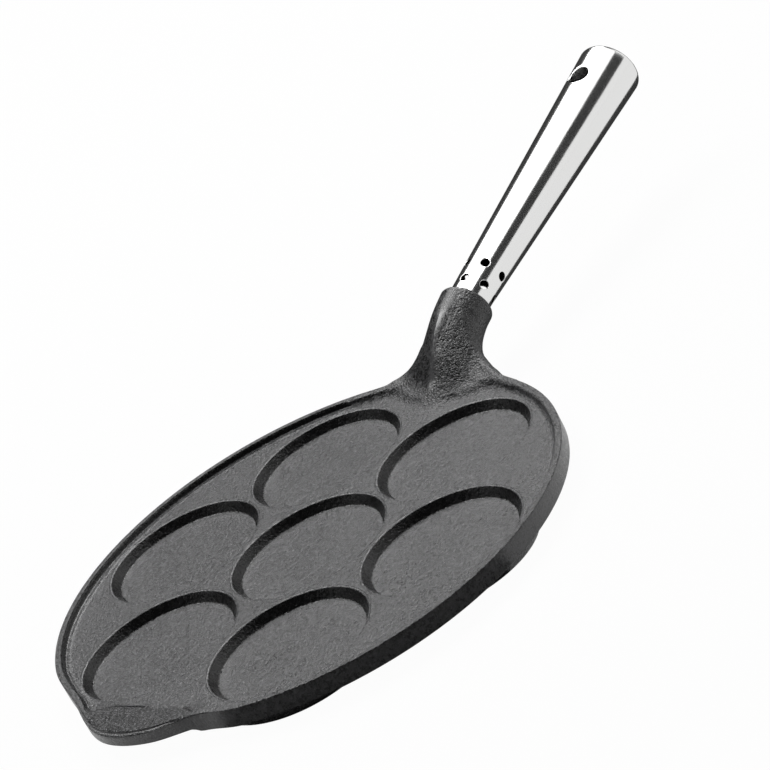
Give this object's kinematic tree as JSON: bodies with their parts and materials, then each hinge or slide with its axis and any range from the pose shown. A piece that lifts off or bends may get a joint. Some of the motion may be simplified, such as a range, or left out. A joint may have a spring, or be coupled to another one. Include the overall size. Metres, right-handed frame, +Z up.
{
  "type": "pancake pan",
  "caption": "Round cast iron pancake pan with flat round wells, a low rim with a pouring lip, and a tapered tubular steel handle cast into the neck.",
  "frame": {"origin": "centre of the flat underside of the middle well, in the plane that the pan stands on", "axes": "+Z up, out of the wells; +X from the middle of the plate along the handle"},
  "size_m": [0.4208, 0.23, 0.0693],
  "materials": {
    "cast_iron": "sand cast, seasoned",
    "brushed_steel": "finely brushed along the handle",
    "plain_steel": "as pressed"
  },
  "bodies": {
    "root": {"pan_casting": "cast_iron", "handle_tube": "brushed_steel", "hanging_eyelet": "brushed_steel", "handle_end_cap": "brushed_steel", "root_plug": "plain_steel"}
  },
  "joints": []
}
